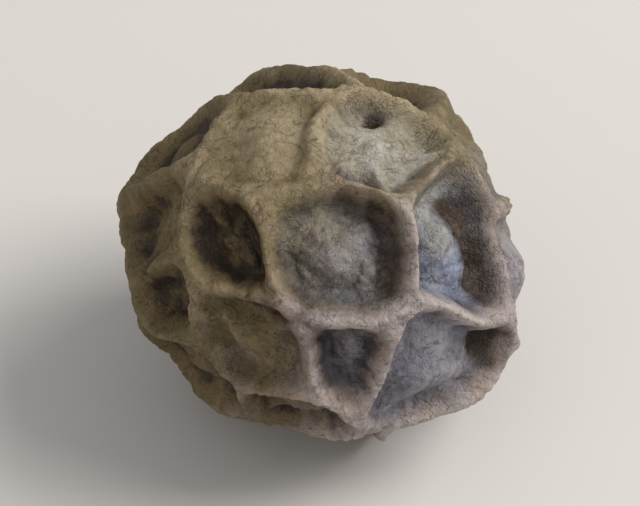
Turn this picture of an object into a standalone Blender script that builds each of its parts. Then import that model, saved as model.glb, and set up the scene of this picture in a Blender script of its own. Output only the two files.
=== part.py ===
"""A black peppercorn: one whole dried fruit, its skin shrunk into a raised net, lying on its stalk scar."""

import math

import bmesh
import bpy
import numpy as np

# Driving dimensions, in metres
WIDTH = 0.0050
RIDGE_HEIGHT = 0.00046
RIDGE_REACH = 0.00016
SPUR_REACH = 0.00011
SCAR_RADIUS = 0.00060
MOAT_DEPTH = 0.00005
POINT_GAP = 0.00012

# The round body under the net: how much shorter it is than wide, and how wide the scar is on it
RADIUS = WIDTH / 2
SQUAT = 0.05
SCAR_RIM = math.asin(SCAR_RADIUS / RADIUS)

# How much the ridges' reach varies along them, and the powers that round the backs of ridges and spurs
REACH_SWING = 0.18
RIDGE_ROUNDNESS = 2.2
SPUR_ROUNDNESS = 1.6

# The angles over which the net, and its bending, fade in past the scar's rim
SCAR_FADE = 0.36
BEND_FADE = 0.4

# A place on the side that faces the viewer is given as seen from this far above it: a turn about the
# line of sight, anticlockwise from the right, and a tilt away from that line, both in degrees
LOOKING_DOWN = math.radians(45)

# The sunken cells of that side: turn, tilt, size and depth, the last two against the mean
FRONT_CELLS = (
    (119, 38, 1.01, 0.30),
    (66, 40, 1.00, 0.75),
    (5, 6, 1.00, 1.05),
    (1, 46, 1.00, 1.25),
    (-45, 51, 1.00, 0.80),
    (-78, 33, 0.97, 0.95),
    (175, 27, 0.98, 1.05),
    (172, 62, 0.99, 0.90),
    (-166, 60, 0.97, 1.10),
    (-130, 40, 1.00, 1.00),
    (-103, 62, 0.97, 0.90),
    (146, 70, 0.98, 0.95),
    (113, 86, 1.00, 1.00),
    (73, 95, 0.99, 1.00),
    (35, 92, 1.00, 0.50),
    (-3, 95, 1.00, 0.40),
    (-50, 99, 1.00, 0.50),
    (-85, 96, 1.00, 0.50),
    (-140, 80, 1.00, 1.00),
    (-172, 96, 1.00, 1.00),
)

# The cells of the far side fall at random, evened out a little, and no cell crowds the scar
HIDDEN_CELLS = 12
EVENING_ROUNDS = 8
SCAR_CELL_SIZE = 0.97
SCAR_CELL_DEPTH = 0.8
SHALLOWEST, DEEPEST = 0.65, 1.2
SEED = 11

# Shares of the ridge height: how much the crests rise and fall, how rough the floors are, and how far a
# floor swells up toward its middle
CREST_SWING = 0.16
FLOOR_ROUGHNESS = 0.11
FLOOR_SWELL = 0.55

# How wide those swings are on the fruit, in metres, and how far from the border a floor starts to swell
CREST_WAVE = 0.0018
FLOOR_WAVE = 0.0008
SWELL_REACH = 0.0005

# The net is bent by broad waves and by small ones: their size in metres, and their push as a share of the
# radius. Borders are rounded off within this share of the radius.
BENDS = ((0.0040, 0.065), (0.0014, 0.022))
BORDER_SOFTNESS = 0.040

# The share of the net's joints that send a spur into a cell, how far it reaches toward the middle, and how
# much of the cell's depth it fills at its root
SPUR_SHARE = 0.6
SHORTEST_SPUR, LONGEST_SPUR = 0.5, 0.8
SPUR_FILL = 0.65

# Broad swellings of the body: turn, tilt, width in degrees, and height as a share of the radius
SWELLINGS = ((-32, 84, 30, 0.10), (-120, 80, 30, -0.06))

# Small pits in the skin: turn, tilt, radius and depth in metres
PITS = (
    (-29, 72, 0.00021, 0.00026),
    (-171, 65, 0.00015, 0.00016),
    (68, 55, 0.00013, 0.00016),
)

# What is left of the flower at the fruit's tip, a low point: turn, tilt, radius and height in metres
TIP = (64, 42, 0.00013, 0.00008)


def unit(vectors):
    """Each row of an array, scaled to length 1."""
    return vectors / np.linalg.norm(vectors, axis=-1, keepdims=True)


def seen_at(turn, tilt):
    """The direction from the fruit's middle to a place on the side that faces the viewer."""
    turn, tilt = math.radians(turn), math.radians(tilt)
    right = math.sin(tilt) * math.cos(turn)
    up = math.sin(tilt) * math.sin(turn)
    near = math.cos(tilt)
    level, steep = math.cos(LOOKING_DOWN), math.sin(LOOKING_DOWN)
    return np.array((right, steep * up - level * near, level * up + steep * near))


def smooth(share):
    """0 to 1, with soft ends, as share goes from 0 to 1."""
    share = np.clip(share, 0, 1)
    return share * share * (3 - 2 * share)


def waves(directions, size, seed):
    """A smooth random swing, mostly within -1 to 1, with swells of this size in metres on the fruit."""
    count = 16
    rng = np.random.default_rng(seed)
    headings = unit(rng.normal(size=(count, 3))) * (2 * math.pi * RADIUS / size)
    starts = rng.uniform(0, 2 * math.pi, count)
    return np.sin(directions @ headings.T + starts).sum(axis=1) / math.sqrt(count)


def spread(count):
    """Directions spread evenly all round, on a spiral."""
    step = np.arange(count) + 0.5
    height = 1 - 2 * step / count
    turn = step * math.pi * (1 + math.sqrt(5))
    across = np.sqrt(1 - height**2)
    return np.stack((across * np.cos(turn), across * np.sin(turn), height), axis=1)


def from_scar(directions):
    """The angle of each direction from the middle of the scar, straight below."""
    return np.arccos(np.clip(-directions[:, 2], -1, 1))


def net_cells():
    """The middle of each cell, as a vector as long as its size, and its depth. The scar comes first."""
    fixed = [np.array((0.0, 0.0, -SCAR_CELL_SIZE))]
    fixed += [seen_at(turn, tilt) * size for turn, tilt, size, _ in FRONT_CELLS]
    all_round = spread(6000)
    far_side = all_round[all_round @ seen_at(0, 0) < 0]
    rng = np.random.default_rng(SEED)
    loose = rng.choice(far_side, HIDDEN_CELLS, replace=False)
    for _ in range(EVENING_ROUNDS):
        cells = np.concatenate((fixed, loose))
        owner = np.argmax(far_side @ cells.T, axis=1) - len(fixed)
        loose = unit(np.array([far_side[owner == index].mean(axis=0) for index in range(HIDDEN_CELLS)]))
    depths = [SCAR_CELL_DEPTH] + [depth for _, _, _, depth in FRONT_CELLS]
    depths = np.concatenate((depths, rng.uniform(SHALLOWEST, DEEPEST, HIDDEN_CELLS)))
    return np.concatenate((fixed, loose)), depths


CELLS, DEPTHS = net_cells()


def net_lines():
    """The joints where three cells meet, the borders between two, and the spurs that run into the cells.

    The cells' vectors are the corners of a solid whose faces point to the joints, and whose edges cross
    the borders. A border or a spur is a pair of directions, one for each end.
    """
    solid = bmesh.new()
    for cell in CELLS:
        solid.verts.new(cell)
    bmesh.ops.convex_hull(solid, input=solid.verts)
    joints = np.array([face.normal[:] for face in solid.faces])
    borders = np.array([[face.normal[:] for face in edge.link_faces] for edge in solid.edges])
    rng = np.random.default_rng(SEED + 3)
    spurs = []
    for face in solid.faces:
        has_spur = rng.uniform() < SPUR_SHARE
        middle = unit(np.array(face.verts[rng.integers(3)].co))
        reach = rng.uniform(SHORTEST_SPUR, LONGEST_SPUR)
        joint = np.array(face.normal)
        near_scar = min(from_scar(np.array((joint, middle)))) < 2.5 * SCAR_RIM
        if has_spur and not near_scar:
            spurs.append((joint, unit(joint * (1 - reach) + middle * reach)))
    solid.free()
    return joints, borders, np.array(spurs)


JOINTS, BORDERS, SPURS = net_lines()


def to_border(directions):
    """The cell of each direction, and how far it is from the cell's border, in metres on the fruit.

    Each cell holds the directions that lead furthest along its own vector. Where three cells meet, the
    distance dips below zero, so that the net's joints are broad.
    """
    rows = np.arange(len(directions))
    along = directions @ CELLS.T
    owner = np.argmax(along, axis=1)
    apart = np.linalg.norm(CELLS[:, None] - CELLS, axis=2) + np.eye(len(CELLS))
    away = (along[rows, owner][:, None] - along) / apart[owner]
    away[rows, owner] = np.inf
    nearest = -np.log(np.exp(-away / BORDER_SOFTNESS).sum(axis=1)) * BORDER_SOFTNESS
    return owner, nearest * RADIUS


def on_spur(directions):
    """1 on the root of each spur, fading toward its end and to its sides."""
    nearness = np.zeros(len(directions))
    for start, end in SPURS:
        run = end - start
        share = np.clip((directions - start) @ run / (run @ run), 0, 1)
        aside = np.linalg.norm(directions - start - share[:, None] * run, axis=1) * RADIUS
        nearness = np.maximum(nearness, (1 - share**2) * np.exp(-((aside / SPUR_REACH) ** SPUR_ROUNDNESS)))
    return nearness


def net_height(directions):
    """How far the net stands out from the body, or a cell's floor lies below it."""
    owner, away = to_border(directions)
    crest = CREST_SWING * waves(directions, CREST_WAVE, SEED + 1)
    ripple = FLOOR_ROUGHNESS * waves(directions, FLOOR_WAVE, SEED + 2)
    swell = FLOOR_SWELL * (1 - np.exp(-((away / SWELL_REACH) ** 2)))
    floor = DEPTHS[owner] * (swell - 1) * (1 - SPUR_FILL * on_spur(directions)) + ripple
    reach = RIDGE_REACH * (1 + REACH_SWING * waves(directions, CREST_WAVE, SEED + 4))
    on_ridge = np.exp(-((np.clip(away, 0, None) / reach) ** RIDGE_ROUNDNESS))
    return RIDGE_HEIGHT * (crest * on_ridge + floor * (1 - on_ridge))


def bent(directions):
    """The directions pushed about a little, so that no ridge runs straight. The scar stays as it is."""
    push = np.zeros(directions.shape)
    for layer, (size, share) in enumerate(BENDS, 1):
        for axis in range(3):
            push[:, axis] += share * waves(directions, size, SEED + 10 * layer + axis)
    free = smooth((from_scar(directions) - 1.2 * SCAR_RIM) / BEND_FADE)
    return unit(directions + push * free[:, None])


def hump(toward, place, radius):
    """1 at a place, given by turn and tilt, falling to nearly 0 at twice this angle from it."""
    apart = np.linalg.norm(toward - seen_at(*place), axis=1)
    return np.exp(-((apart / radius) ** 2))


def body_radius(toward):
    """The radius of the round body that carries the net."""
    radius = RADIUS * (1 - SQUAT * toward[:, 2] ** 2)
    for turn, tilt, width, height in SWELLINGS:
        radius += RADIUS * height * hump(toward, (turn, tilt), math.radians(width))
    return radius


def small_marks(toward):
    """The pits and the tip, as heights."""
    turn, tilt, radius, height = TIP
    marks = height * hump(toward, (turn, tilt), radius / RADIUS)
    for turn, tilt, radius, depth in PITS:
        marks -= depth * hump(toward, (turn, tilt), radius / RADIUS)
    return marks


def surface(directions):
    """The points of the skin, in metres from the fruit's middle.

    The scar is flat, with a shallow moat round it, and the net fades in past its rim.
    """
    moat_middle, moat_reach = 1.35 * SCAR_RIM, 0.2 * SCAR_RIM
    toward = bent(directions)
    off_scar = from_scar(toward)
    moat = MOAT_DEPTH * np.exp(-(((off_scar - moat_middle) / moat_reach) ** 2))
    fade = smooth((off_scar - SCAR_RIM) / SCAR_FADE)
    height = (net_height(directions) + small_marks(toward)) * fade - moat
    points = toward * (body_radius(toward) + height)[:, None]
    on_scar = off_scar < SCAR_RIM * 1.001
    level = RADIUS * (1 - SQUAT * math.cos(SCAR_RIM) ** 2) * math.cos(SCAR_RIM)
    points[on_scar] = toward[on_scar] * (level / np.cos(off_scar[on_scar]))[:, None]
    points[on_scar, 2] = -level
    return points


def along_lines(lines, asides):
    """Directions in rows along each line, each row this far to the side of it, in metres on the fruit."""
    found = []
    for start, end in lines:
        length = math.acos(min(1, start @ end)) * RADIUS
        count = max(1, round(length / (0.8 * POINT_GAP)))
        shares = (np.arange(count) + 0.5)[:, None] / count
        line = unit(start + (end - start) * shares)
        across = unit(np.cross(start, end))
        found += [unit(line + across * (aside / RADIUS)) for aside in asides]
    return np.concatenate(found)


def scar_rings():
    """Directions over the scar and its moat: the middle, then rings."""
    rings = [np.array(((0.0, 0.0, -1.0),))]
    for share, count in ((0.5, 12), (1, 36), (1.17, 36), (1.37, 36)):
        turn = np.linspace(0, 2 * math.pi, count, endpoint=False)
        out = math.sin(SCAR_RIM * share)
        below = np.full(count, -math.cos(SCAR_RIM * share))
        rings.append(np.stack((out * np.cos(turn), out * np.sin(turn), below), axis=1))
    return np.concatenate(rings)


def spaced(groups):
    """Directions from the groups in turn, leaving out each that lies too near one already taken."""
    kept = np.zeros((20000, 3))
    count = 0
    for directions, gaps in groups:
        nearest = np.cos(np.broadcast_to(gaps, len(directions)) / RADIUS)
        for direction, limit in zip(directions, nearest):
            if count == 0 or (kept[:count] @ direction).max() < limit:
                kept[count] = direction
                count += 1
    return kept[:count]


def mesh_directions():
    """Where the skin has its points: close together on the net and the small marks, wider on the floors.

    Rows run along each border and spur, and beside them. Each group comes with the least gap that its
    points keep from those before them.
    """
    rest = spread(30000)
    gaps = np.where(to_border(rest)[1] < 3 * POINT_GAP, POINT_GAP, 1.25 * POINT_GAP)
    toward = bent(rest)
    for turn, tilt, radius, _ in PITS + (TIP,):
        near = np.linalg.norm(toward - seen_at(turn, tilt), axis=1) < 2 * radius / RADIUS
        gaps = np.where(near, 0.6 * POINT_GAP, gaps)
    groups = (
        (JOINTS, 0.3 * POINT_GAP),
        (along_lines(BORDERS, (0,)), 0.5 * POINT_GAP),
        (along_lines(SPURS, (0,)), 0.5 * POINT_GAP),
        (along_lines(BORDERS, (-0.75 * POINT_GAP, 0.75 * POINT_GAP)), 0.65 * POINT_GAP),
        (along_lines(SPURS, (-0.8 * POINT_GAP, 0.8 * POINT_GAP)), 0.65 * POINT_GAP),
        (along_lines(BORDERS, (-1.6 * POINT_GAP, 1.6 * POINT_GAP)), 0.75 * POINT_GAP),
        (rest, gaps),
    )
    found = [(scar_rings(), 0)]
    for directions, gaps in groups:
        clear = from_scar(directions) > 1.45 * SCAR_RIM
        found.append((directions[clear], np.broadcast_to(gaps, len(directions))[clear]))
    return spaced(found)


def skin():
    """Dried fruit skin: dark brown and matt."""
    material = bpy.data.materials.new("dried_skin")
    material.use_nodes = True
    shader = material.node_tree.nodes["Principled BSDF"]
    shader.inputs["Base Color"].default_value = (0.110, 0.086, 0.062, 1)
    shader.inputs["Roughness"].default_value = 0.7
    shader.inputs["Metallic"].default_value = 0.0
    return material


def peppercorn():
    """The whole fruit: points all round, joined into triangles as a ball, then moved out to the skin."""
    ball = bmesh.new()
    for direction in mesh_directions():
        ball.verts.new(direction)
    bmesh.ops.convex_hull(ball, input=ball.verts)
    points = surface(unit(np.array([vert.co[:] for vert in ball.verts])))
    low, high = points.min(axis=0), points.max(axis=0)
    points -= ((low[0] + high[0]) / 2, (low[1] + high[1]) / 2, low[2])
    for vert, point in zip(ball.verts, points):
        vert.co = point
    for face in ball.faces:
        face.smooth = True
    mesh = bpy.data.meshes.new("peppercorn")
    ball.to_mesh(mesh)
    ball.free()
    mesh.materials.append(skin())
    fruit = bpy.data.objects.new("peppercorn", mesh)
    bpy.context.collection.objects.link(fruit)


for thing in list(bpy.data.objects):
    bpy.data.objects.remove(thing)
peppercorn()
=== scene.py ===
"""A black peppercorn: one whole dried berry, its skin shrunk into a raised net, lying on its stalk scar."""

import math

import bmesh
import bpy
import numpy as np
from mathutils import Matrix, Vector


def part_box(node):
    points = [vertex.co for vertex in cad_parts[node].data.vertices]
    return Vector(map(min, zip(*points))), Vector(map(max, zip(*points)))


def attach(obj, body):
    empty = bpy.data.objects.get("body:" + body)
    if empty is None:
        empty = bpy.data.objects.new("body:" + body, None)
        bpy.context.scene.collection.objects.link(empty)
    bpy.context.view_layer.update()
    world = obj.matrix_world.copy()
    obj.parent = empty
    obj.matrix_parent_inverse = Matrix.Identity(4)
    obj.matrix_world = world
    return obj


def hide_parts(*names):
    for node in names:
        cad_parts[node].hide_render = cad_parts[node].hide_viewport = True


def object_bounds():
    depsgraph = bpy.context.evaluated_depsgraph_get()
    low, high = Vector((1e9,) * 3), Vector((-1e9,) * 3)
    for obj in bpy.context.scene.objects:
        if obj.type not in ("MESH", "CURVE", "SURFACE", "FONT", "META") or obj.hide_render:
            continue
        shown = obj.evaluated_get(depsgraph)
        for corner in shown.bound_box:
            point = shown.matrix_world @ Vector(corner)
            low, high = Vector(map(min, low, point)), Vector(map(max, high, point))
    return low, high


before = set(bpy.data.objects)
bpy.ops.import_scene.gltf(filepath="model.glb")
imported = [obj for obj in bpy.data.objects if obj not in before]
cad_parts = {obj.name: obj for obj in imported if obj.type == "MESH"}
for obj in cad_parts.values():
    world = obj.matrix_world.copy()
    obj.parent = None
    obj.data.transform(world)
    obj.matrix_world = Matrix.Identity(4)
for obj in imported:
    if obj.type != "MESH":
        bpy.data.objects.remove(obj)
cad_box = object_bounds()


# The peppercorn. The real one is a whole berry, picked green and dried in the sun until its flesh shrank
# onto the single seed. The skin had nowhere to go, so it folded into a net of round-backed ridges about
# 0.3 mm wide, with sunken cells between them.

RADIUS = 0.0025

# A place on the side that faces the viewer is given as seen from this far above it: a turn about the
# line of sight, anticlockwise from the right, and a tilt away from that line, both in degrees
LOOKING_DOWN = math.radians(45)


def unit(vectors):
    """Each row of an array, scaled to length 1."""
    return vectors / np.linalg.norm(vectors, axis=-1, keepdims=True)


def seen_at(turn, tilt):
    """The direction from the fruit's middle to a place on the side that faces the viewer."""
    turn, tilt = math.radians(turn), math.radians(tilt)
    right = math.sin(tilt) * math.cos(turn)
    up = math.sin(tilt) * math.sin(turn)
    near = math.cos(tilt)
    level, steep = math.cos(LOOKING_DOWN), math.sin(LOOKING_DOWN)
    return np.array((right, steep * up - level * near, level * up + steep * near))


def smooth(share):
    """0 to 1, with soft ends, as share goes from 0 to 1."""
    share = np.clip(share, 0, 1)
    return share * share * (3 - 2 * share)


def waves(directions, size, seed, count=16, mix=0):
    """A smooth random swing, mostly within -1 to 1, with swells of this size in metres on the fruit.

    A mix above 0 makes some swells smaller and others larger, by up to that share.
    """
    rng = np.random.default_rng(seed)
    headings = unit(rng.normal(size=(count, 3))) * (2 * math.pi * RADIUS / size)
    starts = rng.uniform(0, 2 * math.pi, count)
    headings *= rng.uniform(1 - mix, 1 + mix, (count, 1))
    return np.sin(directions @ headings.T + starts).sum(axis=1) / math.sqrt(count)


def spread(count):
    """Directions spread evenly all round, on a spiral."""
    step = np.arange(count) + 0.5
    height = 1 - 2 * step / count
    turn = step * math.pi * (1 + math.sqrt(5))
    across = np.sqrt(1 - height**2)
    return np.stack((across * np.cos(turn), across * np.sin(turn), height), axis=1)


# The scar where the stalk broke off, which the fruit lies on: its radius, and the same as an angle at the
# fruit's middle
SCAR_RADIUS = 0.00060
SCAR_RIM = math.asin(SCAR_RADIUS / RADIUS)


def from_scar(directions):
    """The angle of each direction from the middle of the scar, straight below."""
    return np.arccos(np.clip(-directions[:, 2], -1, 1))


# The sunken cells of the side that faces the viewer: turn, tilt, size and depth, the last two against the
# mean. Then how much paler than the mean the floor is, partly its own tone and partly painted light and
# shade, and how much grey dust lies on it, on the right partly a painted sheen of the sky.
FRONT_CELLS = (
    (119, 38, 1.01, 0.30, 0.45, 0.0),
    (66, 40, 1.00, 0.75, 0.28, 0.5),
    (5, 6, 1.00, 1.05, 0.15, 0.30),
    (1, 46, 1.00, 1.25, 0.05, 0.75),
    (-45, 51, 1.00, 0.80, 0.20, 0.35),
    (-78, 33, 0.97, 0.95, 0.0, 0.2),
    (175, 27, 0.98, 1.05, 0.10, 0.0),
    (172, 62, 0.99, 0.90, 0.40, 0.0),
    (-166, 60, 0.97, 1.10, 0.15, 0.0),
    (-130, 40, 1.00, 1.00, 0.70, 0.0),
    (-103, 62, 0.97, 0.90, 0.0, 0.0),
    (146, 70, 0.98, 0.95, -0.05, 0.0),
    (113, 86, 1.00, 1.00, 0.0, 0.0),
    (73, 95, 0.99, 1.00, 0.0, 0.0),
    (35, 92, 1.00, 0.50, 0.15, 0.1),
    (-3, 95, 1.00, 0.40, 0.25, 0.2),
    (-50, 99, 1.00, 0.50, 0.30, 0.7),
    (-85, 96, 1.00, 0.50, 0.0, 0.0),
    (-140, 80, 1.00, 1.00, -0.05, 0.0),
    (-172, 96, 1.00, 1.00, 0.0, 0.0),
)

# The cells of the far side fall at random, evened out a little, and no cell crowds the scar. Each has a
# depth, and a pair that says how much paler its floor is and how much dust it has, between these.
HIDDEN_CELLS = 12
PLACES_TRIED = 6000
EVENING_ROUNDS = 8
SCAR_CELL_SIZE = 0.97
SCAR_CELL_DEPTH = 0.8
SHALLOWEST, DEEPEST = 0.65, 1.2
PLAINEST, PALEST = (-0.1, -0.4), (0.2, 0.6)

# Each random draw and each set of waves starts from this seed plus a number of its own
SEED = 11


def net_cells():
    """The middle of each cell, as a vector as long as its size, then its depth, paleness and dust.

    The scar comes first.
    """
    fixed = [np.array((0.0, 0.0, -SCAR_CELL_SIZE))]
    fixed += [seen_at(turn, tilt) * size for turn, tilt, size, *_ in FRONT_CELLS]
    all_round = spread(PLACES_TRIED)
    far_side = all_round[all_round @ seen_at(0, 0) < 0]
    rng = np.random.default_rng(SEED)
    loose = rng.choice(far_side, HIDDEN_CELLS, replace=False)
    for _ in range(EVENING_ROUNDS):
        cells = np.concatenate((fixed, loose))
        owner = np.argmax(far_side @ cells.T, axis=1) - len(fixed)
        loose = unit(np.array([far_side[owner == index].mean(axis=0) for index in range(HIDDEN_CELLS)]))
    looks = [(SCAR_CELL_DEPTH, 0, 0)] + [row[3:] for row in FRONT_CELLS]
    depths = rng.uniform(SHALLOWEST, DEEPEST, (HIDDEN_CELLS, 1))
    tints = rng.uniform(PLAINEST, PALEST, (HIDDEN_CELLS, 2))
    return np.concatenate((fixed, loose)), np.concatenate((looks, np.hstack((depths, tints))))


CELLS, LOOKS = net_cells()
DEPTHS = LOOKS[:, 0]


# The share of the net's joints that send a spur into a cell, how far it reaches toward the middle, and how
# much of the cell's depth it fills at its root
SPUR_SHARE = 0.6
SHORTEST_SPUR, LONGEST_SPUR = 0.5, 0.8
SPUR_FILL = 0.65

# No spur comes nearer to the middle of the scar than this many times the scar's radius
SPUR_FREE = 2.5


def net_spurs():
    """The spurs that run from the net's joints into the cells, each a pair of directions.

    The cells' vectors are the corners of a solid whose faces point to the joints, where three cells meet.
    """
    solid = bmesh.new()
    for cell in CELLS:
        solid.verts.new(cell)
    bmesh.ops.convex_hull(solid, input=solid.verts)
    rng = np.random.default_rng(SEED + 3)
    spurs = []
    for face in solid.faces:
        has_spur = rng.uniform() < SPUR_SHARE
        middle = unit(np.array(face.verts[rng.integers(3)].co))
        reach = rng.uniform(SHORTEST_SPUR, LONGEST_SPUR)
        joint = np.array(face.normal)
        near_scar = min(from_scar(np.array((joint, middle)))) < SPUR_FREE * SCAR_RIM
        if has_spur and not near_scar:
            spurs.append((joint, unit(joint * (1 - reach) + middle * reach)))
    solid.free()
    return np.array(spurs)


SPURS = net_spurs()


# Borders are rounded off within this share of the radius
BORDER_SOFTNESS = 0.040


def to_border(directions):
    """The cell of each direction, and how far it is from the cell's border, in metres on the fruit.

    Each cell holds the directions that lead furthest along its own vector. Where three cells meet, the
    distance dips below zero, so that the net's joints are broad. Then the foot, which is the nearest place
    on the border, and how much further off the next border is.
    """
    rows = np.arange(len(directions))
    along = directions @ CELLS.T
    owner = np.argmax(along, axis=1)
    apart = np.linalg.norm(CELLS[:, None] - CELLS, axis=2) + np.eye(len(CELLS))
    away = (along[rows, owner][:, None] - along) / apart[owner]
    away[rows, owner] = np.inf
    nearest = -np.log(np.exp(-away / BORDER_SOFTNESS).sum(axis=1)) * BORDER_SOFTNESS
    beyond = np.argmin(away, axis=1)
    closest, second = np.partition(away, 1, axis=1)[:, :2].T
    foot = directions - (closest / apart[owner, beyond])[:, None] * (CELLS[owner] - CELLS[beyond])
    return owner, nearest * RADIUS, foot, (second - closest) * RADIUS


# How far a spur reaches to each side, and the power that rounds its back
SPUR_REACH = 0.00011
SPUR_ROUNDNESS = 1.6


def on_spur(directions):
    """1 on the root of each spur, fading toward its end and to its sides."""
    nearness = np.zeros(len(directions))
    for start, end in SPURS:
        run = end - start
        share = np.clip((directions - start) @ run / (run @ run), 0, 1)
        aside = np.linalg.norm(directions - start - share[:, None] * run, axis=1) * RADIUS
        nearness = np.maximum(nearness, (1 - share**2) * np.exp(-((aside / SPUR_REACH) ** SPUR_ROUNDNESS)))
    return nearness


# The folds that run down the ridges' sides: their spacing and height, and how far they keep from the corners
# of a cell
FOLDS = ((0.00034, 0.000040), (0.00018, 0.000016))
FOLD_GAP = 0.00022


def side_folds(foot, spare, on_ridge):
    """The folds in the ridges' sides, which run straight down them and are highest half way."""
    on_side = 4 * on_ridge * (1 - on_ridge) * (1 - np.exp(-((spare / FOLD_GAP) ** 2)))
    height = np.zeros(len(foot))
    for layer, (size, rise) in enumerate(FOLDS):
        height += rise * waves(foot, size, SEED + 70 + layer, count=40, mix=0.4)
    return height * on_side


# The net's height, how far its ridges reach to each side, how much that varies along them, and the power that
# rounds their backs
RIDGE_HEIGHT = 0.00046
RIDGE_REACH = 0.00016
REACH_SWING = 0.18
RIDGE_ROUNDNESS = 2.2

# Shares of the ridge height: how much the crests rise and fall, how rough the floors are, and how far a
# floor swells up toward its middle
CREST_SWING = 0.16
FLOOR_ROUGHNESS = 0.11
FLOOR_SWELL = 0.55

# How wide those swings are on the fruit, and how far from the border a floor starts to swell
CREST_WAVE = 0.0018
FLOOR_WAVE = 0.0008
SWELL_REACH = 0.0005


def net_height(directions):
    """How far the net stands out from the body, or a cell's floor lies below it.

    Then what the skin's looks follow: 1 on the ridges and 0 on the floors, the depth, paleness and dust of
    the floor, and the height of the folds.
    """
    owner, away, foot, spare = to_border(directions)
    crest = CREST_SWING * waves(directions, CREST_WAVE, SEED + 1)
    ripple = FLOOR_ROUGHNESS * waves(directions, FLOOR_WAVE, SEED + 2)
    swell = FLOOR_SWELL * (1 - np.exp(-((away / SWELL_REACH) ** 2)))
    floor = DEPTHS[owner] * (swell - 1) * (1 - SPUR_FILL * on_spur(directions)) + ripple
    reach = RIDGE_REACH * (1 + REACH_SWING * waves(directions, CREST_WAVE, SEED + 4))
    on_ridge = np.exp(-((np.clip(away, 0, None) / reach) ** RIDGE_ROUNDNESS))
    height = RIDGE_HEIGHT * (crest * on_ridge + floor * (1 - on_ridge))
    return height, on_ridge, LOOKS[owner].T, side_folds(foot, spare, on_ridge)


# The net is bent by broad waves and by small ones: their size, and their push as a share of the radius. The
# bending starts at this angle from the middle of the scar, and is full after this further angle.
BENDS = ((0.0040, 0.065), (0.0014, 0.022))
BEND_START = 1.2 * SCAR_RIM
BEND_FADE = 0.4


def bent(directions):
    """The directions pushed about a little, so that no ridge runs straight. The scar stays as it is."""
    push = np.zeros(directions.shape)
    for layer, (size, share) in enumerate(BENDS, 1):
        for axis in range(3):
            push[:, axis] += share * waves(directions, size, SEED + 10 * layer + axis)
    free = smooth((from_scar(directions) - BEND_START) / BEND_FADE)
    return unit(directions + push * free[:, None])


def hump(toward, place, radius):
    """1 at a place, given by turn and tilt, falling to nearly 0 at twice this angle from it."""
    apart = np.linalg.norm(toward - seen_at(*place), axis=1)
    return np.exp(-((apart / radius) ** 2))


# How much shorter the round body is than wide. Then its broad swellings: turn, tilt, width in degrees, and
# height as a share of the radius.
SQUAT = 0.05
SWELLINGS = ((-32, 84, 30, 0.10), (-120, 80, 30, -0.06))


def body_radius(toward):
    """The radius of the round body that carries the net."""
    radius = RADIUS * (1 - SQUAT * toward[:, 2] ** 2)
    for turn, tilt, width, height in SWELLINGS:
        radius += RADIUS * height * hump(toward, (turn, tilt), math.radians(width))
    return radius


# Furrows at the feet of two ridges on the right: the turns and tilts of the ends, the reach, the depth, and
# how much shadow is painted in them, from 0 to 1. They fade out over a share of their run at each end, and
# their painted shadow is full from a share of their depth on.
FURROWS = (
    ((28, 54), (-22, 71), 0.00028, 0.00010, 1.0),
    ((50, 29), (-38, 28), 0.00015, 0.00005, 0.8),
)
FURROW_END = 1 / 6
FURROW_DARKEST = 0.625


def furrows(toward):
    """How much shadow is painted into the furrows, from 0 to 1, and how deep they are."""
    painted_furrow_shade, sunk = np.zeros((2, len(toward)))
    for start, end, reach, depth, painted_shadow in FURROWS:
        start, end = seen_at(*start), seen_at(*end)
        run = end - start
        share = (toward - start) @ run / (run @ run)
        aside = np.linalg.norm(toward - unit(start + share[:, None] * run), axis=1) * RADIUS
        in_run = smooth(share / FURROW_END) * smooth((1 - share) / FURROW_END)
        nearness = in_run * np.exp(-((aside / reach) ** 2))
        painted_furrow_shade = np.maximum(painted_furrow_shade, painted_shadow * smooth(nearness / FURROW_DARKEST))
        sunk = np.maximum(sunk, depth * nearness)
    return painted_furrow_shade, sunk


# Small pits: turn, tilt, radius and depth. Then what is left of the flower at the fruit's tip.
PITS = (
    (-29, 72, 0.00021, 0.00026),
    (-171, 65, 0.00015, 0.00016),
    (68, 55, 0.00013, 0.00016),
)
TIP = (64, 42, 0.00013, 0.00008)


def small_marks(toward):
    """The tip and the pits, as heights."""
    turn, tilt, radius, height = TIP
    marks = height * hump(toward, (turn, tilt), radius / RADIUS)
    for turn, tilt, radius, depth in PITS:
        marks -= depth * hump(toward, (turn, tilt), radius / RADIUS)
    return marks


# The small wrinkles all over the skin, as on old leather: size on the fruit and height. Then how much
# stronger some places are, how sharp the valleys are, and the share of the height that is left on the
# shallowest floor.
WRINKLES = ((0.00080, 0.000042), (0.00042, 0.000026), (0.00022, 0.000021), (0.00012, 0.000013))
WRINKLE_SWING = 0.4
WRINKLE_SHARPNESS = 1.5
LEAST_WRINKLED = 0.4


def wrinkle_height(directions):
    """The small wrinkles, whose backs are broad and whose valleys are narrow, stronger in some places."""
    height = np.zeros(len(directions))
    for layer, (size, rise) in enumerate(WRINKLES):
        strength = 1 + WRINKLE_SWING * waves(directions, 3 * size, SEED + 60 + layer)
        swell = np.abs(waves(directions, size, SEED + 40 + layer, count=48, mix=0.5))
        back = 1 - np.exp(-WRINKLE_SHARPNESS * swell)
        height += rise * strength * (back - 0.5)
    return height


# The moat round the scar: its depth, and where its middle is and how far it reaches, as angles from the
# middle of the scar
MOAT_DEPTH = 0.00005
MOAT_MIDDLE = 1.35 * SCAR_RIM
MOAT_REACH = 0.2 * SCAR_RIM


def moat_depth(off_scar):
    """How deep the moat is at this angle from the middle of the scar."""
    return MOAT_DEPTH * np.exp(-(((off_scar - MOAT_MIDDLE) / MOAT_REACH) ** 2))


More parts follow.
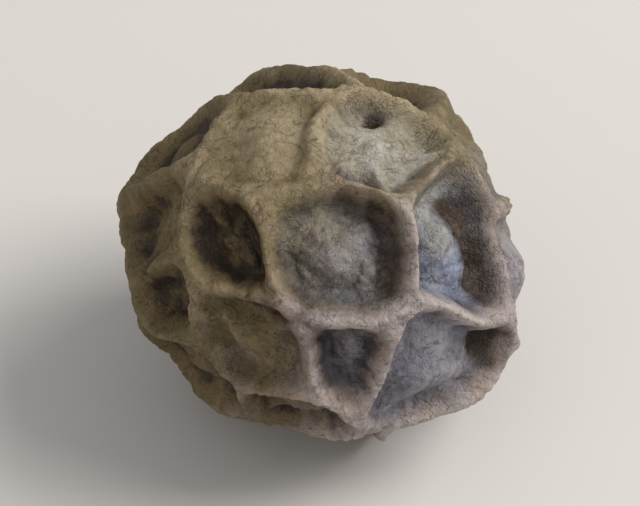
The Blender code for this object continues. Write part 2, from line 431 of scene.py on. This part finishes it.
def lay_flat(points, toward, off_scar):
    """Lays the scar, and what is within a hair of its rim, flat on one level."""
    on_scar = off_scar < SCAR_RIM * 1.001
    level = RADIUS * (1 - SQUAT * math.cos(SCAR_RIM) ** 2) * math.cos(SCAR_RIM)
    points[on_scar] = toward[on_scar] * (level / np.cos(off_scar[on_scar]))[:, None]
    points[on_scar, 2] = -level


# How pale the skin is, from 0 in a hollow to 1 on a ridge: what it starts from, and how much comes from the
# net's height, the rubbed crests, the shade painted into the grooves at the ridges' feet and into the
# hollows, and the small relief
PALE_AT_FIRST = 0.12
PALE_BY_HEIGHT = 0.55
PALE_BY_RUBBING = 0.35
SHADE_PAINTED_IN_GROOVES = 0.3
SHADE_PAINTED_IN_HOLLOWS = 0.85
PALE_BY_RELIEF = 0.35

# Small relief of this height counts in full
FULL_RELIEF = 0.00005

# From the floor, 0, to the crest of a ridge, 1: where the shade painted into the groove at its foot is full,
# where it starts to fade and where it is gone
GROOVE_FULL, GROOVE_FADING, GROOVE_GONE = 0.1, 0.25, 0.75


def how_pale(net, relief, on_ridge, rubbed, in_shaded_hollow):
    """How pale the ridges, grooves and hollows are, with shade painted into the grooves and hollows, and with
    their small relief.
    """
    past_groove = smooth((on_ridge - GROOVE_FADING) / (GROOVE_GONE - GROOVE_FADING))
    in_shaded_groove = smooth(on_ridge / GROOVE_FULL) * (1 - past_groove)
    paleness = PALE_AT_FIRST + PALE_BY_HEIGHT * (1 + net / RIDGE_HEIGHT) + PALE_BY_RUBBING * rubbed
    paleness -= SHADE_PAINTED_IN_GROOVES * in_shaded_groove + SHADE_PAINTED_IN_HOLLOWS * in_shaded_hollow
    return paleness + PALE_BY_RELIEF * relief / FULL_RELIEF


# Places where light or shade is painted into the skin: painted light makes it paler than the net makes it,
# painted shade makes it darker and bare of dust. Turn, tilt, reach, and by how much
PAINTED_LIGHT_AND_SHADE = (
    (15, 59, 0.00036, -0.9),
    (27, 67, 0.00028, 0.6),
    (-29, 49, 0.00040, 0.6),
    (76, 24, 0.00022, -0.5),
    (170, 9, 0.00032, 0.3),
    (180, 15, 0.00030, -0.3),
    (-140, 24, 0.00050, -0.5),
    (145, 30, 0.00030, -0.4),
    (172, 43, 0.00040, -0.6),
    (177, 78, 0.00060, -0.3),
    (98, 42, 0.00030, 0.3),
    (92, 63, 0.00035, 0.7),
    (-134, 46, 0.00060, 0.4),
    (-55, 84, 0.00070, 0.5),
    (-68, 27, 0.00034, 0.4),
    (-106, 26, 0.00042, -0.5),
    (46, 64, 0.00045, 0.45),
)

# From the floor, 0, to the crest of a ridge, 1: where the crest starts to be rubbed
RUBBED_FROM = 0.5

# The angle over which the net fades in past the scar's rim, and the depth at which the shade painted into a
# hollow is full
SCAR_FADE = 0.36
DARK_HOLLOW = 0.00010

# How pale the scar is, how much dust lies round the tip and how many times as far as the tip reaches, and how
# fast the dust and painted sheen fade where shade is painted
SCAR_PALENESS = 0.6
TIP_DUST = 0.5
TIP_DUST_REACH = 3
COVER_LOSS_IN_PAINTED_SHADE = 1.6


def surface(directions):
    """The points of the skin, in metres from the fruit's middle, and what the material reads at each."""
    toward = bent(directions)
    off_scar = from_scar(toward)
    fade = smooth((off_scar - SCAR_RIM) / SCAR_FADE)
    net, on_ridge, (depth, tone_and_painted_light, dust_and_sheen), folds = net_height(directions)
    rubbed = smooth((on_ridge - RUBBED_FROM) / (1 - RUBBED_FROM))
    painted_furrow_shade, sunk = furrows(toward)
    marks = small_marks(toward) - sunk * (1 - rubbed)
    kept = LEAST_WRINKLED + (1 - LEAST_WRINKLED) * (depth * (1 - on_ridge) + on_ridge)
    wrinkles = wrinkle_height(directions) * kept
    height = (net + marks + folds + wrinkles) * fade - moat_depth(off_scar)
    points = toward * (body_radius(toward) + height)[:, None]
    lay_flat(points, toward, off_scar)

    # Shade is painted into the hollows and furrows, and they are bare. Dust, with a painted sheen of the sky
    # on some floors, lies on the floors and round the tip, but not where shade is painted.
    in_shaded_hollow = np.maximum(smooth(-marks / DARK_HOLLOW), painted_furrow_shade * (1 - rubbed))
    # The listed places add painted light, above 0, and painted shade, below 0
    shade = sum(by * hump(toward, (turn, tilt), reach / RADIUS) for turn, tilt, reach, by in PAINTED_LIGHT_AND_SHADE)
    # Each floor's paleness from its cell is partly its own tone and partly painted light and shade
    paleness = how_pale(net, wrinkles + folds, on_ridge, rubbed, in_shaded_hollow) + shade + tone_and_painted_light * (1 - on_ridge)
    turn, tilt, reach, _ = TIP
    round_tip = hump(toward, (turn, tilt), TIP_DUST_REACH * reach / RADIUS)
    laid_dust_and_sheen = np.clip(dust_and_sheen, 0, 1) * (1 - on_ridge) + TIP_DUST * round_tip
    cover_outside_painted_shade = np.clip(1 + COVER_LOSS_IN_PAINTED_SHADE * shade, 0, 1)
    measures = {
        "paleness": np.clip(SCAR_PALENESS + (paleness - SCAR_PALENESS) * fade, 0, None),
        "on_ridge": on_ridge * fade * (1 - in_shaded_hollow),
        "dust_and_sheen": laid_dust_and_sheen * fade * (1 - in_shaded_hollow) * cover_outside_painted_shade,
    }
    return points, measures


# The skin's grid has this many faces along each edge of the cube that it is laid over, which sets its
# points 0.03 mm apart
GRID = 128


def fruit_mesh():
    """The whole berry: a grid laid over a cube, blown up to a ball, then moved out to the skin."""
    ball = bmesh.new()
    bmesh.ops.create_cube(ball, size=2)
    bmesh.ops.subdivide_edges(ball, edges=ball.edges[:], cuts=GRID - 1, use_grid_fill=True)
    on_cube = np.array([vert.co[:] for vert in ball.verts])
    points, measures = surface(unit(np.tan(on_cube * math.pi / 4)))

    # The skin is centred on the solid and lies at the same level
    low, high = (np.array(corner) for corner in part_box("peppercorn"))
    middle = (points.min(axis=0) + points.max(axis=0)) / 2
    points[:, :2] += ((low + high) / 2 - middle)[:2]
    points[:, 2] += low[2] - points[:, 2].min()

    for vert, point in zip(ball.verts, points):
        vert.co = point
    for face in ball.faces:
        face.smooth = True
    mesh = bpy.data.meshes.new("whole_peppercorn")
    ball.to_mesh(mesh)
    ball.free()
    for name, values in measures.items():
        mesh.attributes.new(name, "FLOAT", "POINT").data.foreach_set("value", values.astype(np.float32))
    return mesh


def linear(code):
    """An sRGB hex colour as the linear red, green, blue and alpha that Blender mixes with."""
    shares = [int(code[start:start + 2], 16) / 255 for start in (1, 3, 5)]
    return [share / 12.92 if share <= 0.04045 else ((share + 0.055) / 1.055) ** 2.4 for share in shares] + [1]


def add_node(tree, kind, settings, inputs):
    """Adds a node with its settings. Each input takes a value, or the output of another node."""
    node = tree.nodes.new(kind)
    for name, value in settings.items():
        setattr(node, name, value)
    for name, value in inputs.items():
        if isinstance(value, bpy.types.NodeSocket):
            tree.links.new(value, node.inputs[name])
        else:
            node.inputs[name].default_value = value
    return node


# Where the five tones of a hue stand on the way up: at the bottom of a groove, low, half way, on a ridge and
# on its palest specks
TONE_LEVELS = (0.0, 0.22, 0.44, 0.73, 1.0)


def skin_tones(tree, level, codes):
    """One hue of the skin, in five tones from the bottom of a groove to the palest specks on a ridge."""
    tones = add_node(tree, "ShaderNodeValToRGB", {}, {"Fac": level.outputs[0]})
    elements = tones.color_ramp.elements
    while len(elements) < len(TONE_LEVELS):
        elements.new(1)
    for element, place, code in zip(elements, TONE_LEVELS, codes):
        element.position = place
        element.color = linear(code)
    return tones.outputs["Color"]


# How far the line between two hues wanders, and how wide it is, as shares of the radius
HUE_WANDER = 1.2
HUE_BLEND = 0.6


def on_flank(tree, place, drift, toward, line):
    """0 to 1, rising toward one side of the fruit, with a ragged line at this share of the radius."""
    low, high = (np.array(corner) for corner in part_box("peppercorn"))
    line += (low + high) / 2 @ toward / RADIUS
    across = add_node(tree, "ShaderNodeVectorMath", {"operation": "DOT_PRODUCT"}, {
        0: place, 1: Vector(toward) / RADIUS})
    ragged = add_node(tree, "ShaderNodeMath", {"operation": "MULTIPLY_ADD"}, {
        0: drift, 1: HUE_WANDER, 2: across.outputs["Value"]})
    line += HUE_WANDER / 2
    rise = add_node(tree, "ShaderNodeMapRange", {"interpolation_type": "SMOOTHSTEP"}, {
        "Value": ragged.outputs[0], "From Min": line - HUE_BLEND / 2, "From Max": line + HUE_BLEND / 2})
    return rise.outputs[0]


# The widths of the skin's patterns: the widest blotches, the patches of hue and of tan, the granules, the
# creases from bend to bend, and the puckers. The real puckers are finer than 0.03 mm, and are drawn that wide
# so that they show.
BLOTCH = 0.00030
HUE_PATCH = 0.00090
TAN_PATCH = 0.00060
GRANULE = 0.00007
CREASE_BEND = 0.00030
PUCKER = 0.00003

# How far the blotches shift the paleness, and the paleness that counts as full
BLOTCH_SHIFT = 1.4
FULL_PALENESS = 1.37

# How wide the creases are, as a share of the swing that they follow
CREASE_WIDTH = 0.011

# How far the puckers stand out, and how deep the gaps between granules and the creases are against them
PUCKER_HEIGHT = 0.000028
GAP_DEPTH = 0.8
CREASE_DEPTH = 0.8


def dried_berry_skin():
    """Dried berry skin: near black and a little waxy in the hollows, paler and matt on the ridges.

    Olive above the middle, violet grey on the right and brown elsewhere: partly the skin's own hue and partly
    painted light, the violet grey standing for a painted cool sheen of the sky and the darker brown for
    painted shade on the side away from the lamps. Shade is painted into the grooves and hollows. The ridges
    are worn to tan in patches, and dust lies on some of the floors, with a bluer painted sheen on the right.
    """
    material = bpy.data.materials.new("dried_berry_skin")
    material.use_nodes = True
    tree = material.node_tree
    shader = tree.nodes["Principled BSDF"]
    place = tree.nodes.new("ShaderNodeTexCoord").outputs["Object"]
    paleness, on_ridge, dust_and_sheen = (
        add_node(tree, "ShaderNodeAttribute", {"attribute_name": name}, {}).outputs["Fac"]
        for name in ("paleness", "on_ridge", "dust_and_sheen"))

    # Blotches of all sizes, from the widest down to a hundredth of it, shift how pale the skin is
    blotch = add_node(tree, "ShaderNodeTexNoise", {}, {
        "Vector": place, "Scale": 1 / BLOTCH, "Detail": 7, "Roughness": 0.75}).outputs["Fac"]
    blotchy = add_node(tree, "ShaderNodeMath", {"operation": "MULTIPLY_ADD"}, {
        0: blotch, 1: BLOTCH_SHIFT, 2: paleness})
    level = add_node(tree, "ShaderNodeMapRange", {}, {
        "Value": blotchy.outputs[0], "From Min": BLOTCH_SHIFT / 2,
        "From Max": BLOTCH_SHIFT / 2 + FULL_PALENESS})

    # The hue changes round the fruit: olive above the middle, violet grey on the right, brown elsewhere. The
    # violet grey is partly a painted cool sheen and the darker brown partly painted shade.
    drift = add_node(tree, "ShaderNodeTexNoise", {}, {
        "Vector": place, "Scale": 1 / HUE_PATCH, "Detail": 3, "Roughness": 0.55}).outputs["Fac"]
    brown_and_painted_shade = skin_tones(tree, level, ("#2A1C0B", "#5D4E2F", "#655735", "#625638", "#766A4C"))
    olive = skin_tones(tree, level, ("#2D1F0F", "#5E5033", "#7F7356", "#8C7E61", "#9F9277"))
    violet_and_painted_sheen = skin_tones(tree, level, ("#2E1E14", "#5D5047", "#786E6A", "#968B87", "#ABA29D"))
    on_top = on_flank(tree, place, drift, seen_at(100, 42), 0.68)
    on_right = on_flank(tree, place, drift, seen_at(-40, 60), 0.50)

    # In a mix of colours, inputs 0, 6 and 7 are the share and the two colours, and output 2 is what they give
    upper = add_node(tree, "ShaderNodeMix", {"data_type": "RGBA"}, {0: on_top, 6: brown_and_painted_shade, 7: olive})
    all_hues = add_node(tree, "ShaderNodeMix", {"data_type": "RGBA"}, {
        0: on_right, 6: upper.outputs[2], 7: violet_and_painted_sheen})

    # Tan patches where the ridges are rubbed
    rub = add_node(tree, "ShaderNodeTexNoise", {}, {
        "Vector": place, "Scale": 1 / TAN_PATCH, "Detail": 5, "Roughness": 0.6, "Distortion": 0.4})
    rubbed = add_node(tree, "ShaderNodeMapRange", {}, {
        "Value": rub.outputs["Fac"], "From Min": 0.52, "From Max": 0.68, "To Max": 0.5})
    on_back = add_node(tree, "ShaderNodeMath", {"operation": "MULTIPLY"}, {
        0: rubbed.outputs[0], 1: on_ridge})
    worn = add_node(tree, "ShaderNodeMix", {"data_type": "RGBA"}, {
        0: on_back.outputs[0], 6: all_hues.outputs[2], 7: linear("#9C8267")})

    # A film on some floors, thin where the skin is blotched: pale grey dust, and on the right a bluer painted
    # sheen of the sky
    film = add_node(tree, "ShaderNodeMapRange", {}, {
        "Value": blotch, "From Min": 0.3, "From Max": 0.6, "To Min": 0.3})
    dust_and_sheen_share = add_node(tree, "ShaderNodeMath", {"operation": "MULTIPLY", "use_clamp": True}, {
        0: dust_and_sheen, 1: film.outputs[0]})
    grey_dust_blue_sheen = add_node(tree, "ShaderNodeMix", {"data_type": "RGBA"}, {
        0: on_right, 6: linear("#AEACA1"), 7: linear("#8F9DB8")})
    with_dust_and_sheen = add_node(tree, "ShaderNodeMix", {"data_type": "RGBA"}, {
        0: dust_and_sheen_share.outputs[0], 6: worn.outputs[2], 7: grey_dust_blue_sheen.outputs[2]})

    # Granules of skin, darker in the gaps between them
    granule = add_node(tree, "ShaderNodeTexVoronoi", {"normalize": True}, {
        "Vector": place, "Scale": 1 / GRANULE, "Detail": 2, "Roughness": 0.6}).outputs["Distance"]
    gap = add_node(tree, "ShaderNodeMapRange", {}, {
        "Value": granule, "From Min": 0.15, "From Max": 0.6, "To Min": 1.08, "To Max": 0.62})
    grainy = add_node(tree, "ShaderNodeMix", {"data_type": "RGBA", "blend_type": "MULTIPLY"}, {
        0: 1.0, 6: with_dust_and_sheen.outputs[2], 7: gap.outputs[0]})

    # Thin dark creases, which wander over ridges and floors alike
    bend = add_node(tree, "ShaderNodeTexNoise", {}, {
        "Vector": place, "Scale": 1 / CREASE_BEND, "Detail": 3, "Roughness": 0.55, "Distortion": 0.7})
    in_crease = add_node(tree, "ShaderNodeMath", {"operation": "COMPARE"}, {
        0: bend.outputs["Fac"], 1: 0.5, 2: CREASE_WIDTH})
    crease_tone = add_node(tree, "ShaderNodeMapRange", {}, {
        "Value": in_crease.outputs[0], "To Min": 1.0, "To Max": 0.6})
    skin = add_node(tree, "ShaderNodeMix", {"data_type": "RGBA", "blend_type": "MULTIPLY"}, {
        0: 1.0, 6: grainy.outputs[2], 7: crease_tone.outputs[0]})
    tree.links.new(skin.outputs[2], shader.inputs["Base Color"])

    # Waxy in the hollows, matt on the backs of the ridges
    polish = add_node(tree, "ShaderNodeMath", {"operation": "MULTIPLY_ADD"}, {
        0: paleness, 1: 0.15, 2: 0.38})
    uneven = add_node(tree, "ShaderNodeMath", {"operation": "MULTIPLY_ADD"}, {
        0: blotch, 1: 0.25, 2: polish.outputs[0]})
    tree.links.new(uneven.outputs[0], shader.inputs["Roughness"])
    shader.inputs["IOR"].default_value = 1.45

    # The relief that is finer than the mesh: the granules, the creases and the puckers
    pucker = add_node(tree, "ShaderNodeTexNoise", {}, {
        "Vector": place, "Scale": 1 / PUCKER, "Detail": 3, "Roughness": 0.6}).outputs["Fac"]
    rough = add_node(tree, "ShaderNodeMath", {"operation": "MULTIPLY_ADD"}, {
        0: granule, 1: -GAP_DEPTH, 2: pucker})
    creased = add_node(tree, "ShaderNodeMath", {"operation": "MULTIPLY_ADD"}, {
        0: in_crease.outputs[0], 1: -CREASE_DEPTH, 2: rough.outputs[0]})
    grain = add_node(tree, "ShaderNodeBump", {}, {
        "Height": creased.outputs[0], "Strength": 0.9, "Distance": PUCKER_HEIGHT})
    tree.links.new(grain.outputs["Normal"], shader.inputs["Normal"])
    return material


fruit = bpy.data.objects.new("whole_peppercorn", fruit_mesh())
fruit.data.materials.append(dried_berry_skin())
bpy.context.collection.objects.link(fruit)
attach(fruit, "root")
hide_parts("peppercorn")


# The floor: a sheet of pale matt paper, laid flat under the fruit. It is wide enough to fill the picture
# from every side.

FLOOR_WIDTH = 2.0


def matt_paper():
    """Uncoated white paper: no shine."""
    material = bpy.data.materials.new("matt_paper")
    material.use_nodes = True
    shader = material.node_tree.nodes["Principled BSDF"]
    shader.inputs["Base Color"].default_value = linear("#CBC9C6")
    shader.inputs["Roughness"].default_value = 0.9
    shader.inputs["Specular IOR Level"].default_value = 0.2
    return material


def paper_sheet():
    """One square face, level with the bottom of the fruit."""
    sheet = bmesh.new()
    bmesh.ops.create_grid(sheet, x_segments=1, y_segments=1, size=FLOOR_WIDTH / 2)
    mesh = bpy.data.meshes.new("floor")
    sheet.to_mesh(mesh)
    sheet.free()
    return mesh


floor = bpy.data.objects.new("floor", paper_sheet())
floor.data.materials.append(matt_paper())
bpy.context.collection.objects.link(floor)


# The light: a large soft lamp to the upper right, as from a window, a weak cool one below it, a weak warm
# one to the left, as from a wall, and a pale room all round

centre = (cad_box[0] + cad_box[1]) / 2


def add_lamp(name, turn, tilt, distance, width, power, code):
    """A square lamp that shines at the fruit from a place given as seen by the viewer.

    Its distance and width are in metres, and its power is in watts.
    """
    lamp = bpy.data.lights.new(name, "AREA")
    lamp.size = width
    lamp.energy = power
    lamp.color = linear(code)[:3]
    holder = bpy.data.objects.new(name, lamp)
    toward = Vector(seen_at(turn, tilt))
    holder.location = centre + toward * distance
    holder.rotation_euler = toward.to_track_quat("Z", "Y").to_euler()
    bpy.context.collection.objects.link(holder)


add_lamp("window", 38, 61, 0.12, 0.07, 0.155, "#FFFAF4")
add_lamp("sky", -38, 76, 0.12, 0.08, 0.085, "#E6ECFF")
add_lamp("wall", -160, 66, 0.12, 0.08, 0.035, "#FFE6C4")

room = bpy.data.worlds.new("room")
room.use_nodes = True
room.node_tree.nodes["Background"].inputs["Color"].default_value = linear("#F4F4F6")
room.node_tree.nodes["Background"].inputs["Strength"].default_value = 0.56
bpy.context.scene.world = room

# Colours are shown as they are, with no film look
bpy.context.scene.view_settings.view_transform = "Standard"


# The camera looks down at the fruit from the front, through a long lens. The fruit is as wide as four fifths
# of the picture's height.

PICTURE_WIDTH, PICTURE_HEIGHT = 640, 506
SHARE_OF_HEIGHT = 0.80
LENS = 300

camera = bpy.data.cameras.new("camera")
camera.lens = LENS
view_height = (cad_box[1] - cad_box[0]).x / SHARE_OF_HEIGHT
distance = view_height * PICTURE_WIDTH / PICTURE_HEIGHT * LENS / camera.sensor_width
camera.clip_start = distance / 10
camera.clip_end = distance * 100
viewer = bpy.data.objects.new("camera", camera)
line_of_sight = Vector(seen_at(0, 0))
viewer.location = centre + line_of_sight * distance
viewer.rotation_euler = line_of_sight.to_track_quat("Z", "Y").to_euler()
bpy.context.collection.objects.link(viewer)
bpy.context.scene.camera = viewer
